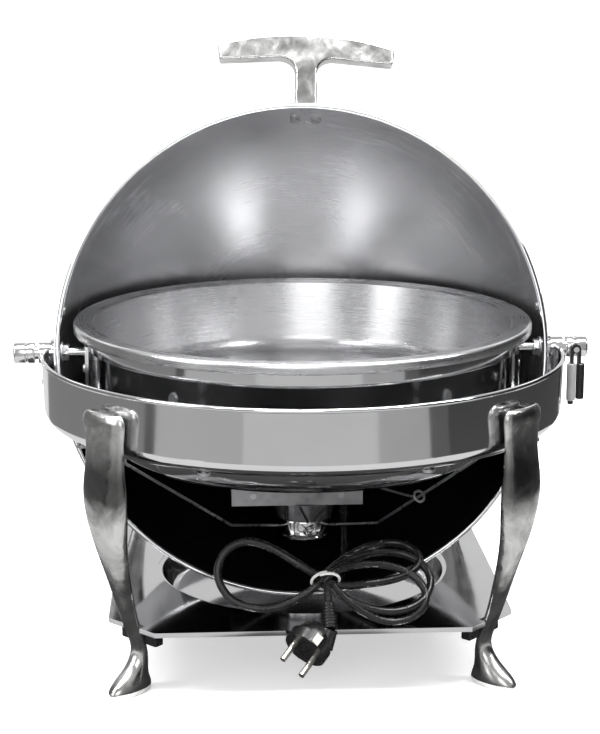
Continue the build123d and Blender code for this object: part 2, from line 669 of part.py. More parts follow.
def build_all():
    PIECES["ring_band"] = ring_band()
    right = hinge_bracket()
    PIECES["hinge_bracket_right"] = right
    PIECES["hinge_bracket_left"] = right.mirror(Plane.YZ)
    PIECES["bracket_rivets"] = mirrored_pair(bracket_rivet())
    PIECES["stand_bushes"] = mirrored_pair(stand_bush())
    PIECES["pivot_pins"] = mirrored_pair(pivot_pin())
    PIECES["pivot_knob_right"] = knob()
    PIECES["pivot_knob_left"] = knob().mirror(Plane.YZ)
    PIECES["pivot_nuts"] = mirrored_pair(pivot_nut())
    PIECES["pivot_washers"] = mirrored_pair(pivot_washer())
    for name, angle in LEG_ANGLES.items():
        PIECES["leg_" + name] = leg(angle)
    PIECES["leg_bolts"] = [leg_bolt(a, h) for a in LEG_ANGLES.values() for h in LEG_BOLT_HEIGHTS]
    PIECES["shelf"] = shelf()
    PIECES["shelf_lugs"] = [shelf_lug(a) for a in LEG_ANGLES.values()]
    PIECES["shelf_screws"] = [shelf_screw(a) for a in LEG_ANGLES.values()]
    PIECES["water_pan"] = water_pan()
    PIECES["food_pan"] = food_pan()
    PIECES["cradle_hoop"] = cradle_hoop()
    PIECES["hangers"] = mirrored_pair(hanger())
    PIECES["cradle_straps"] = [cradle_strap(a) for a in (-STRAP_ANGLE, STRAP_ANGLE)]
    PIECES["cradle_arms"] = [cradle_arm(a) for a in ARM_ANGLES]
    PIECES["arm_bolts"] = [arm_bolt(a) for a in ARM_ANGLES]
    screws = [hanger_screw(h) for h in (-14.0, -33.0)]
    PIECES["hanger_screws"] = screws + [s.mirror(Plane.YZ) for s in screws]
    PIECES["lid_shell"] = lid_shell()
    PIECES["lid_hem"] = lid_hem()
    plate = lid_hinge_plate()
    PIECES["lid_hinge_plates"] = [on_lid(p) for p in mirrored_pair(plate)]
    bush = lid_bush()
    PIECES["lid_bushes"] = [on_lid(b) for b in mirrored_pair(bush)]
    PIECES["lid_rivets"] = [on_lid(lid_rivet(s, a, h)) for s in (-1, 1) for a, h in RIVET_SPOTS]
    PIECES["lid_handle"] = handle()
    PIECES["handle_screws"] = [handle_screw(x) for x in (-9.4, 9.4)]
    PIECES["heater_plate"] = heater_plate()
    PIECES["insulation_block"] = insulation_block()
    PIECES["heater_channel"] = heater_channel()
    PIECES["channel_screws"] = channel_screws()
    PIECES["heater_neck"] = heater_neck()
    PIECES["heater_cup"] = heater_cup()
    PIECES["thermostat"] = thermostat()
    PIECES["lead_wires"] = lead_wires()
    PIECES["support_rod_left"] = support_rod(-1, LEFT_HOOK, LEFT_BEND)
    PIECES["support_rod_right"] = support_rod(1, RIGHT_HOOK, RIGHT_BEND)
    PIECES["hook_wire"] = hook_wire()
    PIECES["latch_pin"] = latch_pin()
    PIECES["latch_yoke"] = latch_yoke()
    PIECES["latch_sleeve_left"] = latch_sleeve(232.4, 3.9, -45.0)
    PIECES["latch_sleeve_right"] = latch_sleeve(240.2, 3.6, -43.6)
    PIECES["latch_tip"] = latch_tip()
    PIECES["cord_gland"] = cord_gland()
    PIECES["cord_feed"] = cord_tube("feed", FEED_ROUTE)
    PIECES["cord_loop"] = cord_tube("loop", LOOP_ROUTE)
    PIECES["cord_tail"] = cord_tube("tail", TAIL_ROUTE)
    PIECES["cord_hank"] = cord_hank()
    PIECES["cord_tie"] = cord_tie()
    PIECES["plug_strain_relief"] = plug_strain_relief()
    PIECES["plug_body"] = plug_body()
    PIECES["plug_pins"] = plug_pins()
    PIECES["earth_clips"] = earth_clips()


LEGS = ["leg_" + name for name in LEG_ANGLES]
# each piece on the left is cut out to seat the pieces on its right
SEATS = {
    "ring_band": ["arm_bolts", "bracket_rivets", "leg_bolts"],
    "hinge_bracket_left": ["bracket_rivets"],
    "hinge_bracket_right": ["bracket_rivets"],
    "leg_front_left": ["ring_band", "leg_bolts", "shelf_screws"],
    "leg_front_right": ["ring_band", "leg_bolts", "shelf_screws"],
    "leg_rear_left": ["ring_band", "leg_bolts", "shelf_screws"],
    "leg_rear_right": ["ring_band", "leg_bolts", "shelf_screws"],
    "shelf_lugs": LEGS + ["shelf_screws"],
    "cradle_arms": ["ring_band", "arm_bolts"],
    "hangers": ["hanger_screws"],
    "pivot_knob_right": ["latch_pin"],
    "latch_sleeve_left": ["latch_yoke"],
    "latch_sleeve_right": ["latch_yoke"],
    "lid_shell": ["lid_rivets", "handle_screws"],
    "lid_hinge_plates": ["lid_rivets"],
    "lid_handle": ["handle_screws"],
    "heater_channel": ["channel_screws"],
    "insulation_block": ["hook_wire"],
    "heater_neck": ["heater_channel"],
    "heater_cup": ["support_rod_left", "support_rod_right"],
    "support_rod_left": ["ring_band"],
    "support_rod_right": ["ring_band"],
    "hook_wire": ["support_rod_right"],
    "plug_body": ["plug_strain_relief", "plug_pins", "earth_clips"],
}


def solids_of(name):
    piece = PIECES[name]
    members = piece if isinstance(piece, list) else [piece]
    return [solid for member in members for solid in member.solids()]


def cut_seats():
    for name, tools in SEATS.items():
        cutters = [solid for tool in tools for solid in solids_of(tool)]
        PIECES[name] = [solid - cutters for solid in solids_of(name)]


build_all()
cut_seats()
os.makedirs("parts", exist_ok=True)
for name in PIECES:
    parts = solids_of(name)
    whole = parts[0] if len(parts) == 1 else Compound(children=parts)
    whole.label = name
    export_step(whole, "parts/" + name + ".step")
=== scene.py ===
import json
import math

import bmesh
import bpy
from mathutils import Matrix, Vector


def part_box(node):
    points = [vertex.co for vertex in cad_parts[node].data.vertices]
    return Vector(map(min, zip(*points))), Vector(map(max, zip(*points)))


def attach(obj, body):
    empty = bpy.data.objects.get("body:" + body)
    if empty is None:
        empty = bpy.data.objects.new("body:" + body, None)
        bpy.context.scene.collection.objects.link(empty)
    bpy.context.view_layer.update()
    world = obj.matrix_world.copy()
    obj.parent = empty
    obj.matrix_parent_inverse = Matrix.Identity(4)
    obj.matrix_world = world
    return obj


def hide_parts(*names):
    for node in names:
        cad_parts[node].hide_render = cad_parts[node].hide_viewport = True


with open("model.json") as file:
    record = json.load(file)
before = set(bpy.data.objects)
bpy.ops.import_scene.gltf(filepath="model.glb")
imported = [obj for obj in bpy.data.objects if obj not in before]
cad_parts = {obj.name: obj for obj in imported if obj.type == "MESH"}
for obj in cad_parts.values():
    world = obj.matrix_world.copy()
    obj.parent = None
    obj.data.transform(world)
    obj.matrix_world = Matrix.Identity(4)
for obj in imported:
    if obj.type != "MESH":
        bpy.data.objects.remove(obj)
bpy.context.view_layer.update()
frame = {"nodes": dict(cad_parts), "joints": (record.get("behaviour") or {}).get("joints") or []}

# Round roll-top chafing dish. Places are in metres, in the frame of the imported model, and the outlines
# of turned pieces are in mm.
MM = 0.001
NODES = frame["nodes"]
LID_JOINT = next(j for j in frame["joints"] if j["name"] == "lid_roll")
PIVOT = Vector(LID_JOINT["pos_m"])
OPEN_ANGLE = math.radians(LID_JOINT["range_deg"][1])


# ---- Camera ----
CAMERA_AZIMUTH = math.radians(-3.24)
CAMERA_ELEVATION = math.radians(12.0)
CAMERA_DISTANCE = 1.556
CAMERA_SENSOR_MM = 36.0
CAMERA_LENS_MM = 88.3
CAMERA_SHIFT = (-0.0034, -0.0241)


def make_camera():
    data = bpy.data.cameras.new("camera")
    data.sensor_width = CAMERA_SENSOR_MM
    data.lens = CAMERA_LENS_MM
    data.shift_x, data.shift_y = CAMERA_SHIFT
    camera = bpy.data.objects.new("camera", data)
    bpy.context.scene.collection.objects.link(camera)
    flat = math.cos(CAMERA_ELEVATION)
    x = math.sin(CAMERA_AZIMUTH) * flat
    y = -math.cos(CAMERA_AZIMUTH) * flat
    away = Vector((x, y, math.sin(CAMERA_ELEVATION)))
    camera.location = PIVOT + away * CAMERA_DISTANCE
    camera.rotation_euler = (-away).to_track_quat("-Z", "Y").to_euler()
    bpy.context.scene.camera = camera


# ---- Materials ----
class Finish:
    """A Principled material with short calls for the detail on it."""

    def __init__(self, name, base, metallic=0.0, rough=0.5, **values):
        self.material = bpy.data.materials.new(name)
        self.material.use_nodes = True
        self.tree = self.material.node_tree
        self.shader = self.tree.nodes["Principled BSDF"]
        self.shader.inputs["Base Color"].default_value = (*base, 1)
        self.shader.inputs["Metallic"].default_value = metallic
        self.shader.inputs["Roughness"].default_value = rough
        for key, value in values.items():
            self.shader.inputs[key].default_value = value
        self.coordinates = self.node("TexCoord")
        self.place = self.coordinates.outputs["Object"]
        self.base = base
        self.height = None

    def node(self, kind, **settings):
        """New shader node of this kind."""
        made = self.tree.nodes.new("ShaderNode" + kind)
        for key, value in settings.items():
            setattr(made, key, value)
        return made

    def link(self, out, into):
        self.tree.links.new(out, into)

    def scaled(self, scale):
        mapping = self.node("Mapping")
        mapping.inputs["Scale"].default_value = scale
        self.link(self.place, mapping.inputs["Vector"])
        return mapping.outputs["Vector"]

    def noise(self, scale, detail=4.0, rough=0.6, distortion=0.0, vector=None):
        """Noise over the material's coordinates; a scale of three numbers stretches it."""
        made = self.node("TexNoise")
        made.inputs["Scale"].default_value = 1.0 if isinstance(scale, tuple) else scale
        made.inputs["Detail"].default_value = detail
        made.inputs["Roughness"].default_value = rough
        made.inputs["Distortion"].default_value = distortion
        source = vector or (self.scaled(scale) if isinstance(scale, tuple) else self.place)
        self.link(source, made.inputs["Vector"])
        return made.outputs["Fac"]

    def spread(self, factor, low, high, start=0.3, end=0.7):
        """Values between start and end become values between low and high."""
        made = self.node("MapRange")
        made.inputs["From Min"].default_value = start
        made.inputs["From Max"].default_value = end
        made.inputs["To Min"].default_value = low
        made.inputs["To Max"].default_value = high
        self.link(factor, made.inputs["Value"])
        return made.outputs["Result"]

    def maths(self, operation, a, b=None):
        """One Math node; each operand is a number or a socket."""
        made = self.node("Math", operation=operation)
        for index, value in enumerate((a, b)):
            if value is None:
                continue
            if isinstance(value, (int, float)):
                made.inputs[index].default_value = value
            else:
                self.link(value, made.inputs[index])
        return made.outputs["Value"]

    def tint(self, factor, low, high):
        """Base colour between two shares of the finish's own colour."""
        ramp = self.node("Mix", data_type="RGBA")
        ramp.inputs["A"].default_value = (*[c * low for c in self.base], 1)
        ramp.inputs["B"].default_value = (*[c * high for c in self.base], 1)
        self.link(factor, ramp.inputs["Factor"])
        self.link(ramp.outputs["Result"], self.shader.inputs["Base Color"])

    def roughness(self, value):
        self.link(value, self.shader.inputs["Roughness"])

    def bump(self, height, strength, distance):
        """Add relief on top of any that is there already; distance is in metres."""
        made = self.node("Bump")
        made.inputs["Strength"].default_value = strength
        made.inputs["Distance"].default_value = distance
        self.link(height, made.inputs["Height"])
        if self.height is not None:
            self.link(self.height, made.inputs["Normal"])
        self.height = made.outputs["Normal"]
        self.link(self.height, self.shader.inputs["Normal"])

    def around(self, turn_scale, rise_scale):
        """Coordinates that run with the turning marks: rings about the piece's own Z axis."""
        split = self.node("SeparateXYZ")
        self.link(self.place, split.inputs[0])
        x, y, z = split.outputs
        squares = self.maths("ADD", self.maths("MULTIPLY", x, x), self.maths("MULTIPLY", y, y))
        radius = self.maths("SQRT", squares)
        angle = self.maths("ARCTAN2", y, x)
        join = self.node("CombineXYZ")
        self.link(self.maths("MULTIPLY", radius, rise_scale), join.inputs[0])
        self.link(self.maths("MULTIPLY", z, rise_scale), join.inputs[1])
        self.link(self.maths("MULTIPLY", angle, turn_scale), join.inputs[2])
        return join.outputs["Vector"]

    def turned_tangent(self):
        """Brushing follows the turning direction that lathe_mesh stores in its UVs."""
        made = self.node("Tangent", direction_type="UV_MAP", uv_map="turn")
        self.link(made.outputs["Tangent"], self.shader.inputs["Tangent"])


def mirror_steel(name, base=(0.80, 0.80, 0.81), rough=(0.05, 0.13), waviness=0.10):
    """Bright-polished sheet: faint wiping marks, fine scratches and a slight unevenness of the sheet."""
    made = Finish(name, base, 1.0, rough[0])
    made.roughness(made.spread(made.noise(9.0, 6.0, 0.65, 0.6), *rough))
    made.tint(made.noise(14.0, 3.0), 0.90, 1.04)
    made.bump(made.noise(7.0, 2.0), waviness, 0.004)
    made.bump(made.noise((900.0, 900.0, 60.0), 3.0), 0.02, 0.0003)
    return made.material


# highlights stretch across the brushing
QUARTER_TURN = 0.25


def spun_steel(name, base, rough, anisotropy, tip=0.0):
    """Satin sheet brushed in rings about an axis through the pivot, tipped about X."""
    made = Finish(name, base, 1.0, rough[0], Anisotropic=anisotropy)
    made.shader.inputs["Anisotropic Rotation"].default_value = QUARTER_TURN
    own = made.node("Mapping")
    own.inputs["Rotation"].default_value = (tip, 0, 0)
    own.inputs["Location"].default_value = Matrix.Rotation(tip, 3, "X") @ -PIVOT
    made.link(made.place, own.inputs["Vector"])
    made.rest_place = made.place
    made.place = own.outputs["Vector"]
    marks = made.noise(1.0, 5.0, 0.7, 0.0, made.around(3.0, 1600.0))
    cloud = made.noise(11.0, 5.0, 0.6, 0.8)
    both = made.maths("ADD", made.maths("MULTIPLY", marks, 0.5), made.maths("MULTIPLY", cloud, 0.5))
    made.roughness(made.spread(both, *rough))
    made.tint(made.spread(both, 0.0, 1.0), 0.90, 1.06)
    made.bump(marks, 0.10, 0.0003)
    made.turned_tangent()
    return made


# painted shade darkens the castings over a band of heights: from none to all of it, then from all to none
PAINTED_SHADE_BAND = (0.155, 0.178, 0.198, 0.222)
PAINTED_SHADE_SHARE = 0.80


def cast_polish(name):
    """Hand-polished casting with soft hollows, fine marks and a painted band of shade."""
    made = Finish(name, (0.72, 0.72, 0.71), 1.0, 0.16)
    patches = made.noise(24.0, 4.0, 0.55, 1.5)
    split = made.node("SeparateXYZ")
    made.link(made.place, split.inputs[0])
    height = made.maths("ADD", split.outputs["Z"], made.maths("MULTIPLY", patches, 0.02))
    above = made.spread(height, 0.0, 1.0, PAINTED_SHADE_BAND[0], PAINTED_SHADE_BAND[1])
    below = made.spread(height, 1.0, 0.0, PAINTED_SHADE_BAND[2], PAINTED_SHADE_BAND[3])
    band = made.maths("MULTIPLY", above, below)
    speck = made.spread(patches, 0.0, 0.45, 0.36, 0.62)
    # the colour left after the painted shade band, before the random specks
    unshaded = made.maths("SUBTRACT", 1.0, made.maths("MULTIPLY", band, PAINTED_SHADE_SHARE))
    made.tint(made.maths("MULTIPLY", unshaded, made.maths("SUBTRACT", 1.0, speck)), 0.10, 1.06)
    made.roughness(made.spread(made.noise(38.0, 5.0, 0.6, 1.2), 0.12, 0.32))
    made.bump(made.noise(26.0, 2.0), 0.55, 0.004)
    made.bump(made.noise((260.0, 260.0, 40.0), 4.0), 0.10, 0.0006)
    return made.material


def turned_bright(name):
    """Bright bar stock, turned about X."""
    made = Finish(name, (0.84, 0.84, 0.84), 1.0, 0.12)
    made.roughness(made.spread(made.noise((2600.0, 120.0, 120.0), 2.0), 0.08, 0.20))
    made.tint(made.noise(60.0, 3.0), 0.86, 1.05)
    made.bump(made.noise((3200.0, 60.0, 60.0), 2.0), 0.12, 0.0002)
    return made.material


def zinc(name, base=(0.56, 0.56, 0.57)):
    """Plated or drawn metal, unevenly dulled."""
    made = Finish(name, base, 1.0, 0.3)
    made.roughness(made.spread(made.noise(220.0, 4.0), 0.22, 0.45))
    made.tint(made.noise(150.0, 4.0), 0.75, 1.1)
    made.bump(made.noise(900.0, 3.0), 0.12, 0.0003)
    return made.material


def galvanised(name):
    """Zinc-dipped sheet with its spangle."""
    made = Finish(name, (0.42, 0.42, 0.43), 1.0, 0.35)
    cells = made.node("TexVoronoi", feature="SMOOTH_F1")
    cells.inputs["Scale"].default_value = 130.0
    made.link(made.place, cells.inputs["Vector"])
    made.roughness(made.spread(cells.outputs["Distance"], 0.26, 0.5, 0.0, 0.7))
    made.tint(made.spread(cells.outputs["Distance"], 0.0, 1.0, 0.0, 0.7), 0.72, 1.08)
    made.bump(made.noise(420.0, 4.0), 0.12, 0.0004)
    return made.material


def moulded(name, base, rough=(0.35, 0.55)):
    """Moulded plastic with a fine grain."""
    made = Finish(name, base, 0.0, rough[0])
    made.roughness(made.spread(made.noise(90.0, 4.0), *rough))
    made.tint(made.noise(70.0, 4.0), 0.75, 1.3)
    made.bump(made.noise(1400.0, 3.0), 0.14, 0.0003)
    return made.material


def jacket(name):
    """Cord jacket: satin black with faint marks."""
    made = Finish(name, (0.006, 0.006, 0.006), 0.0, 0.26, **{"Specular IOR Level": 0.5})
    made.roughness(made.spread(made.noise(60.0, 5.0, 0.65, 0.8), 0.16, 0.36))
    made.tint(made.noise(45.0, 4.0), 0.7, 1.6)
    made.bump(made.noise(320.0, 4.0), 0.16, 0.0004)
    return made.material


def wool(name):
    """Pressed mineral wool."""
    made = Finish(name, (0.62, 0.60, 0.54), 0.0, 0.95)
    made.tint(made.noise(300.0, 6.0), 0.7, 1.15)
    made.bump(made.noise(700.0, 6.0), 0.6, 0.0015)
    return made.material


# painted shade: with the lid open, its inside fades to this dark colour between these depths below the
# pivot
SHADE_START = 0.02
SHADE_FULL = 0.075
PAINTED_SHADE_STEEL = (0.035, 0.035, 0.036, 1)
# normal dotted with the place from the pivot: below minus this the face is inside, above it outside
FACE_LIMIT = 0.05


def lid_steel():
    """Brushed steel; the inside below the ring gets painted shade, and the paint turns with the lid."""
    made = spun_steel("lid_spun_steel", (0.50, 0.50, 0.51), (0.22, 0.29), 0.92, OPEN_ANGLE)
    split = made.node("SeparateXYZ")
    made.link(made.rest_place, split.inputs[0])
    below = made.spread(split.outputs["Z"], 1.0, 0.0, PIVOT.z - SHADE_FULL, PIVOT.z - SHADE_START)
    turned_in = made.node("VectorMath", operation="DOT_PRODUCT")
    tilt = made.node("VectorRotate", rotation_type="X_AXIS")
    tilt.inputs["Angle"].default_value = OPEN_ANGLE
    made.link(made.coordinates.outputs["Normal"], tilt.inputs["Vector"])
    made.link(tilt.outputs["Vector"], turned_in.inputs[0])
    made.link(made.place, turned_in.inputs[1])
    inside = made.spread(turned_in.outputs["Value"], 1.0, 0.0, -FACE_LIMIT, FACE_LIMIT)
    # painted shade on the inside faces below the ring
    shade = made.maths("MULTIPLY", inside, below)
    lit = made.shader.inputs["Base Color"].links[0].from_socket
    dark = made.node("Mix", data_type="RGBA")
    dark.inputs["B"].default_value = PAINTED_SHADE_STEEL
    made.link(lit, dark.inputs["A"])
    made.link(shade, dark.inputs["Factor"])
    made.link(dark.outputs["Result"], made.shader.inputs["Base Color"])
    return made.material


MATERIALS = {}


def build_materials():
    MATERIALS["polished"] = mirror_steel("polished_steel")
    MATERIALS["shelf"] = mirror_steel("shelf_steel", (0.66, 0.66, 0.67), (0.04, 0.12), 0.20)
    MATERIALS["cast"] = cast_polish("cast_polish")
    MATERIALS["turned"] = turned_bright("turned_bright")
    MATERIALS["zinc"] = zinc("zinc_plate")
    MATERIALS["wire"] = zinc("steel_wire", (0.36, 0.36, 0.36))
    MATERIALS["galvanised"] = galvanised("galvanised_sheet")
    MATERIALS["alloy"] = zinc("heater_alloy", (0.42, 0.42, 0.42))
    MATERIALS["black"] = moulded("black_plastic", (0.006, 0.006, 0.006), (0.18, 0.36))
    MATERIALS["grey"] = moulded("grey_sleeve", (0.20, 0.20, 0.20), (0.30, 0.5))
    MATERIALS["leads"] = moulded("wire_insulation", (0.008, 0.008, 0.008), (0.3, 0.4))
    MATERIALS["tie"] = moulded("milky_tie", (0.42, 0.42, 0.41), (0.25, 0.4))
    MATERIALS["plug_metal"] = zinc("plug_metal", (0.74, 0.72, 0.66))
    MATERIALS["jacket"] = jacket("cord_jacket")
    MATERIALS["wool"] = wool("pressed_wool")
    pan = spun_steel("pan_spun_steel", (0.66, 0.66, 0.67), (0.22, 0.34), 0.60)
    MATERIALS["food_pan"] = pan.material
    MATERIALS["lid"] = lid_steel()


# the CAD nodes that are shown as they are, by finish
NODE_FINISH = {
    "polished": ["ring_band", "hinge_bracket_left", "hinge_bracket_right", "water_pan", "cradle_hoop",
                 "hangers", "cradle_straps", "lid_hem", "lid_hinge_plates"],
    "shelf": ["shelf"],
    "cast": ["leg_front_left", "leg_front_right", "leg_rear_left", "leg_rear_right", "lid_handle"],
    "turned": ["stand_bushes", "pivot_pins", "lid_bushes", "latch_pin"],
    "zinc": ["bracket_rivets", "pivot_nuts", "pivot_washers", "leg_bolts", "shelf_screws", "arm_bolts",
             "hanger_screws", "lid_rivets", "handle_screws", "channel_screws"],
    "wire": ["support_rod_left", "support_rod_right", "hook_wire"],
    "galvanised": ["cradle_arms", "heater_channel", "heater_neck"],
    "alloy": ["heater_plate"],
    "black": ["shelf_lugs", "thermostat", "latch_yoke", "latch_sleeve_right", "latch_tip", "cord_gland",
              "plug_body"],
    "grey": ["latch_sleeve_left"],
    "leads": ["lead_wires"],
    "plug_metal": ["plug_pins", "earth_clips"],
    "wool": ["insulation_block"],
}


def finish_nodes():
    for finish, names in NODE_FINISH.items():
        for name in names:
            mesh = NODES[name].data
            mesh.materials.clear()
            mesh.materials.append(MATERIALS[finish])


# ---- Mesh helpers ----
def add_piece(data, body, material, nodes):
    """Object of this mesh or curve, on its body, in place of these CAD nodes."""
    data.materials.append(MATERIALS[material])
    piece = bpy.data.objects.new(data.name, data)
    bpy.context.scene.collection.objects.link(piece)
    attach(piece, body)
    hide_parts(*nodes)
    return piece


# nearer to the axis than this, in metres, is on it
ON_AXIS = 1e-7
# second UV per metre, outwards and up
UV_RISE = 4


def lathe_mesh(name, outline, matrix, segments, sharp=35.0):
    """Turn a closed outline of (radius, height) in mm about Z, then put it in place with the matrix."""
    mesh = bpy.data.meshes.new(name)
    bm = bmesh.new()
    turns = [2 * math.pi * i / segments for i in range(segments)]
    rings = []
    for radius, height in outline:
        r = radius * MM
        z = height * MM
        if r < ON_AXIS:
            rings.append([bm.verts.new((0, 0, z))])
            continue
        rings.append([bm.verts.new((r * math.cos(t), r * math.sin(t), z)) for t in turns])
    for a, b in zip(rings, rings[1:] + rings[:1]):
        if len(a) == 1 and len(b) == 1:
            continue
        for i in range(segments):
            j = (i + 1) % segments
            corners = [a[i % len(a)], a[j % len(a)], b[j % len(b)], b[i % len(b)]]
            bm.faces.new(list(dict.fromkeys(corners)))
    turn_uv = bm.loops.layers.uv.new("turn")
    for face in bm.faces:
        middle = face.calc_center_median()
        at = math.atan2(middle.y, middle.x)
        for corner in face.loops:
            x, y, z = corner.vert.co
            r = math.hypot(x, y)
            away = 0.0
            if r > ON_AXIS:
                away = (math.atan2(y, x) - at + math.pi) % (2 * math.pi) - math.pi
            corner[turn_uv].uv = ((at + away) / (2 * math.pi), (r + z) * UV_RISE)
    bmesh.ops.recalc_face_normals(bm, faces=bm.faces)
    bm.to_mesh(mesh)
    bm.free()
    mesh.shade_smooth()
    mesh.set_sharp_from_angle(angle=math.radians(sharp))
    mesh.transform(matrix)
    return mesh


def arc(centre, radius, start, end, steps):
    """Points on an arc, angles in degrees from the +radius direction."""
    turns = [math.radians(start + (end - start) * i / steps) for i in range(steps + 1)]
    return [(centre[0] + radius * math.cos(t), centre[1] + radius * math.sin(t)) for t in turns]


def curve_data(name, points, radius, segments, steps):
    """Round tube on one open NURBS spline."""
    data = bpy.data.curves.new(name, "CURVE")
    data.dimensions = "3D"
    data.resolution_u = steps
    data.bevel_depth = radius
    data.bevel_resolution = segments
    data.use_fill_caps = True
    spline = data.splines.new("NURBS")
    spline.points.add(len(points) - 1)
    for knot, point in zip(spline.points, points):
        knot.co = (*point, 1)
    spline.order_u = 3
    spline.use_endpoint_u = True
    return data


# ---- Cord ----
CORD_D = 0.0066
CORD_NODES = ["cord_feed", "cord_loop", "cord_tail", "cord_hank"]
TIE = Vector((0.010, -0.148, 0.092))
FEED_ROUTE = [(0.036, -0.004, 0.101), (0.036, -0.0196, 0.080), (0.032, -0.050, 0.064),
              (0.024, -0.085, 0.066), (0.015, -0.118, 0.079), (0.010, -0.145, 0.091)]
LOOP_ROUTE = [(-0.013, -0.142, 0.105), (-0.033, -0.134, 0.116), (-0.053, -0.1275, 0.1205),
              (-0.071, -0.127, 0.112), (-0.078, -0.1325, 0.093), (-0.069, -0.141, 0.076),
              (-0.0495, -0.147, 0.068), (-0.028, -0.150, 0.070), (-0.010, -0.151, 0.0785),
              (0.006, -0.149, 0.090)]
TAIL_ROUTE = [(0.0103, -0.161, 0.090), (0.0108, -0.174, 0.082)]
COIL_MIDDLE = Vector((0.060, -0.131, 0.085))
COIL_LEAN = math.radians(50.0)
COIL_STEPS = 16
# each turn: half width, rise of its right end, half height, lift off the plane at its top and foot
COIL_TURNS = [(0.042, 0.020, 0.022, -0.006, 0.006), (0.0445, -0.001, 0.029, -0.001, -0.001),
              (0.0405, -0.015, 0.024, 0.005, -0.006)]
# the first turn's left end, to the right of the tie, and the step from each turn to the next
COIL_START = -0.004
COIL_SHIFT = 0.003
# at the tie the turns lie this far apart, and have this share of their half height, which then doubles
TIE_GAP = 0.004
TIE_SHARE = 0.55


def coil_route():
    """The three turns at the right, gathered at the tie and fanned out away from it."""
    rise = Vector((0, math.sin(COIL_LEAN), math.cos(COIL_LEAN)))
    lift = Vector((0, -math.cos(COIL_LEAN), math.sin(COIL_LEAN)))
    tie_rise = (TIE - COIL_MIDDLE).dot(rise)
    tie_lift = (TIE - COIL_MIDDLE).dot(lift)
    points = []
    for number, (reach, end_rise, half, top_lift, foot_lift) in enumerate(COIL_TURNS):
        for step in range(COIL_STEPS):
            turn = math.pi - 2 * math.pi * (step + 0.5) / COIL_STEPS
            right = (1 + math.cos(turn)) / 2
            fan = 1 - (1 - right) ** 2
            swell = half * math.sin(turn) * TIE_SHARE * (1 + fan)
            up = tie_rise * (1 - fan) + end_rise * fan + swell
            side = top_lift if math.sin(turn) > 0 else foot_lift
            apart = TIE_GAP * (number - 1) * (1 - fan)
            off = tie_lift * (1 - fan) + side * math.sin(turn) ** 2 + apart
            x = TIE.x + COIL_START + COIL_SHIFT * number + reach * (1 + math.cos(turn))
            middle = Vector((x, COIL_MIDDLE.y, COIL_MIDDLE.z))
            points.append(tuple(middle + rise * up + lift * off))
    return points


def make_cord():
    points = FEED_ROUTE + LOOP_ROUTE + coil_route() + TAIL_ROUTE
    data = curve_data("mains_cord", points, CORD_D / 2, 6, 10)
    return add_piece(data, "stand", "jacket", CORD_NODES), points


TIE_R = 0.0113
TIE_WIRE_R = 0.0012
TIE_PITCH = 0.0016
TIE_POINTS = 26
TIE_AIM = Vector((0.10, -0.80, -0.59))


def make_tie():
    """Milky plastic tie round the gathered strands, a little over one turn."""
    low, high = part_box("cord_tie")
    middle = (low + high) / 2
    facing = TIE_AIM.to_track_quat("Z", "X")
    points = []
    for i in range(TIE_POINTS):
        turn = 2 * math.pi * i / (TIE_POINTS - 3)
        spot = Vector((TIE_R * math.cos(turn), TIE_R * math.sin(turn), TIE_PITCH * i / TIE_POINTS))
        points.append(middle + facing @ spot)
    data = curve_data("bundle_tie", points, TIE_WIRE_R, 4, 12)
    return add_piece(data, "stand", "tie", ["cord_tie"])


# ---- Pieces, outlines in mm ----
LID_INNER = 208.5
LID_OUTER = 210.5
LID_FOOT = -7.8
LID_STEPS = 90


def make_lid_shell():
    """Dome without holes, drawn closed and rolled back; plates, rivets and screws cover the CAD's holes."""
    outline = []
    for radius, rising in ((LID_OUTER, True), (LID_INNER, False)):
        foot = math.degrees(math.asin(LID_FOOT / radius))
        ends = (foot, 90) if rising else (90, foot)
        outline += [(max(r, 0.0), z) for r, z in arc((0, 0), radius, *ends, LID_STEPS)]
    rolled_back = Matrix.Translation(PIVOT) @ Matrix.Rotation(-OPEN_ANGLE, 4, "X")
    mesh = lathe_mesh("lid_dome", outline, rolled_back, 320)
    return add_piece(mesh, "lid", "lid", ["lid_shell"])


PAN_SHEET = 1.2
PAN_RIM_R = 3.4
PAN_SKIRT = 8.5
PAN_FLANGE = 17.0
PAN_TAPER = 6.5
PAN_FLOOR_R = 14.5
PAN_BEND_R = 2.6


def make_food_pan():
    """Spun insert with a soft floor corner and a rolled-down rim."""
    low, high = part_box("food_pan")
    rim = high.x / MM
    top = (high.z - PIVOT.z) / MM
    floor = (low.z - PIVOT.z) / MM
    edge = top - PAN_SKIRT
    wall_top = rim - PAN_FLANGE
    wall_foot = wall_top - PAN_TAPER
    corner = (wall_foot - PAN_FLOOR_R - 1.0, floor + PAN_SHEET + PAN_FLOOR_R)
    bend = (wall_top + 2.2, top - PAN_RIM_R)
    roll = (rim - PAN_RIM_R, top - PAN_RIM_R)
    outline = [(0.0, floor + PAN_SHEET), (corner[0] - 0.5, floor + PAN_SHEET)]
    outline += arc(corner, PAN_FLOOR_R, -88, -6, 14)
    outline += arc(bend, PAN_BEND_R, 176, 100, 8)
    outline += arc(roll, PAN_RIM_R, 86, 0, 12)
    outline += [(rim, edge + 0.5), (rim - 0.3, edge)]
    outline += [(rim - PAN_SHEET + 0.2, edge), (rim - PAN_SHEET, edge + 0.5)]
    outline += arc(roll, PAN_RIM_R - PAN_SHEET, 0, 86, 10)
    outline += arc(bend, PAN_BEND_R - PAN_SHEET, 100, 176, 8)
    outline += arc(corner, PAN_FLOOR_R + PAN_SHEET, -6, -88, 14)
    outline += [(0.0, floor)]
    mesh = lathe_mesh("food_pan_insert", outline, Matrix.Translation(PIVOT), 256)
    return add_piece(mesh, "food_pan_body", "food_pan", ["food_pan"])


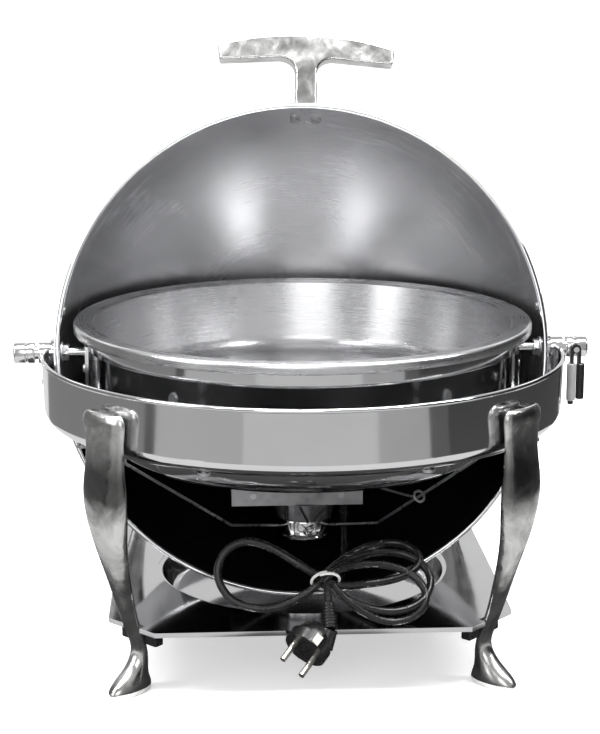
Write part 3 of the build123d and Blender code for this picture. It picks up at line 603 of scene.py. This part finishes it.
def across(x):
    """Frame for a piece turned about X, starting at this X and growing outwards."""
    side = 1 if x > 0 else -1
    return Matrix.Translation((x, 0, PIVOT.z)) @ Matrix.Rotation(math.radians(90 * side), 4, "Y")


KNOB_NECK_R = 6.0


def make_knob(side):
    """Turned knob with its neck, a groove and eased edges."""
    node = "pivot_knob_" + side
    low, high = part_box(node)
    inner = high.x if side == "left" else low.x
    length = (high.x - low.x) / MM
    r = (high.z - low.z) / 2 / MM
    outline = [(0, 0), (KNOB_NECK_R, 0), (KNOB_NECK_R, 3.3)]
    outline += [(r - 1.0, 3.4), (r - 0.3, 3.7), (r, 4.4), (r, 9.0), (r - 0.5, 9.5)]
    outline += [(r - 0.9, 10.0), (r - 0.9, 10.8), (r - 0.5, 11.3), (r, 11.8), (r, length - 1.8)]
    outline += [(r - 0.4, length - 0.8), (r - 1.4, length - 0.1), (r - 2.5, length)]
    outline += [(3.0, length), (2.2, length - 0.5), (0, length - 0.6)]
    mesh = lathe_mesh("turned_knob_" + side, outline, across(inner), 96)
    return add_piece(mesh, "stand", "turned", [node])


RELIEF_AIM = Vector((0.03, -0.6, -0.8))
RELIEF_RIBS = 7
RIB_PITCH = 2.6


def make_strain_relief(start):
    """Ribbed sleeve between the cord and the plug."""
    outline = [(0, 0), (4.2, 0)]
    for i in range(RELIEF_RIBS):
        foot = 1.0 + i * RIB_PITCH
        r = 4.5 + 0.2 * i
        outline += [(r - 0.5, foot), (r, foot + 0.3), (r, foot + 1.5)]
        outline += [(r - 0.5, foot + 1.8), (r - 0.6, foot + 2.3)]
    outline += [(5.9, 19.8), (5.9, 20.6), (0, 20.6)]
    turn = RELIEF_AIM.to_track_quat("Z", "Y").to_matrix().to_4x4()
    mesh = lathe_mesh("ribbed_sleeve", outline, Matrix.Translation(start) @ turn, 64)
    return add_piece(mesh, "stand", "black", ["plug_strain_relief"])


def make_heater_cup():
    """Drawn cup under the heater with a rolled foot and an eased shoulder."""
    low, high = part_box("heater_cup")
    r = (high.x - low.x) / 2 / MM
    tall = (high.z - low.z) / MM
    outline = [(0, tall), (r - 3.0, tall), (r - 1.2, tall - 0.5), (r - 0.5, tall - 1.8)]
    outline += [(r - 0.9, 3.0), (r, 2.0), (r, 0.8), (r - 0.7, 0.0), (r - 1.8, 0.6)]
    outline += [(r - 2.2, 2.2), (r - 2.2, tall - 1.6), (0, tall - 1.5)]
    foot = Matrix.Translation(((low.x + high.x) / 2, (low.y + high.y) / 2, low.z))
    mesh = lathe_mesh("drawn_cup", outline, foot, 128)
    return add_piece(mesh, "stand", "polished", ["heater_cup"])


def build_pieces(relief_start):
    """Every detailed piece but the cord and its tie; returns the strain relief, which is on the cord."""
    make_lid_shell()
    make_food_pan()
    make_knob("left")
    make_knob("right")
    make_heater_cup()
    return make_strain_relief(relief_start)


# ---- Floor, light and reflecting cards ----
def glowing(name, base, glow):
    """Matt surface that gives off white light of its own."""
    made = Finish(name, base, 0.0, 0.9)
    made.tint(made.noise(3.0, 2.0), 0.98, 1.02)
    made.shader.inputs["Emission Color"].default_value = (1, 1, 1, 1)
    made.shader.inputs["Emission Strength"].default_value = glow
    return made.material


def stage_object(name, points, faces, material):
    """Part of the studio, not of the model."""
    mesh = bpy.data.meshes.new(name)
    mesh.from_pydata(points, [], faces)
    mesh.materials.append(material)
    made = bpy.data.objects.new(name, mesh)
    bpy.context.scene.collection.objects.link(made)
    return made


def card(name, start, end, near, far, low, high, shade):
    """Part of a ring-shaped studio card between two azimuths, seen only in reflections."""
    steps = max(2, int((end - start) / 6))
    points = []
    for i in range(steps + 1):
        turn = math.radians(start + (end - start) * i / steps)
        for reach, height in ((near, low), (far, high)):
            points.append((math.sin(turn) * reach, -math.cos(turn) * reach, height))
    faces = [(2 * i, 2 * i + 1, 2 * i + 3, 2 * i + 2) for i in range(steps)]
    made = stage_object(name, points, faces, glowing(name + "_face", (0, 0, 0), shade))
    made.visible_camera = False
    made.visible_diffuse = False
    made.visible_shadow = False


# azimuth from the front, right positive: start, end and brightness of the cards on the floor and behind it
CARDS = [(-180, -140, 0.75), (-140, -66, 0.17), (-66, -61, 0.02), (-61, -25, 0.38), (-25, 25, 0.50),
         (25, 46, 0.34), (46, 54, 0.06), (54, 140, 0.010), (140, 180, 0.75)]
UNDER_SHADE = 0.03
UNDER_START = 0.02
NEAR_SHADE = 0.75
NEAR_START = 0.30
CARD_NEAR = 0.60
CARD_FAR = 3.2
CARD_TALL = 1.9
CARD_LIFT = 0.004
PAPER = (0.93, 0.93, 0.93)
PAPER_REACH = 30.0
FLOOR_GLOW = 0.50
BACKDROP_GLOW = 1.0
WORLD_LIGHT = 0.45
# name, place, aim, width, height and power
LIGHTS = [("soft_top", (-0.2, -0.5, 2.1), (0, 0, 0.3), 1.1, 0.8, 6.0),
          ("soft_left", (-1.7, -1.0, 0.9), (0, 0, 0.25), 0.9, 1.2, 7.0),
          ("fan_left", (-0.34, -0.25, 1.45), (0, 0.1, 0.35), 0.06, 0.9, 22.0),
          ("fan_right", (0.34, -0.25, 1.45), (0, 0.1, 0.35), 0.06, 0.9, 26.0),
          ("fan_far_left", (-0.95, -0.3, 1.25), (0, 0.1, 0.35), 0.08, 0.9, 14.0),
          ("fan_far_right", (0.95, -0.3, 1.25), (0, 0.1, 0.35), 0.08, 0.9, 11.0),
          ("front_fill", (-0.3, -2.0, 1.0), (0, 0, 0.28), 1.0, 1.0, 7.0)]


def area_light(name, place, aim, width, height, power):
    data = bpy.data.lights.new(name, "AREA")
    data.shape = "RECTANGLE"
    data.size = width
    data.size_y = height
    data.energy = power
    light = bpy.data.objects.new(name, data)
    light.location = place
    light.rotation_euler = (Vector(aim) - Vector(place)).to_track_quat("-Z", "Y").to_euler()
    bpy.context.scene.collection.objects.link(light)


def make_stage():
    far = PAPER_REACH
    square = [(0, 1, 2, 3)]
    flat = [(-far, -far, 0), (far, -far, 0), (far, far, 0), (-far, far, 0)]
    stage_object("floor", flat, square, glowing("floor_face", PAPER, FLOOR_GLOW))
    tall = [(-far, far, 0), (far, far, 0), (far, far, far), (-far, far, far)]
    stage_object("backdrop", tall, square, glowing("backdrop_face", PAPER, BACKDROP_GLOW))
    world = bpy.data.worlds.new("studio")
    bpy.context.scene.world = world
    world.use_nodes = True
    back = world.node_tree.nodes["Background"]
    back.inputs["Color"].default_value = (1, 1, 1, 1)
    back.inputs["Strength"].default_value = WORLD_LIGHT
    for i, (start, end, shade) in enumerate(CARDS):
        card("floor_card_%d" % i, start, end, CARD_NEAR, CARD_FAR, CARD_LIFT, CARD_LIFT, shade)
        card("wall_card_%d" % i, start, end, CARD_FAR, CARD_FAR, 0.0, CARD_TALL, shade)
    card("under_card", -180, 180, UNDER_START, NEAR_START, CARD_LIFT, CARD_LIFT, UNDER_SHADE)
    card("near_card", -180, 180, NEAR_START, CARD_NEAR, CARD_LIFT, CARD_LIFT, NEAR_SHADE)
    for light in LIGHTS:
        area_light(*light)
    bpy.context.scene.view_settings.view_transform = "Standard"


# ---- Build ----
make_camera()
build_materials()
cord, cord_route = make_cord()
tie = make_tie()
finish_nodes()
relief = build_pieces(cord_route[-1])
make_stage()
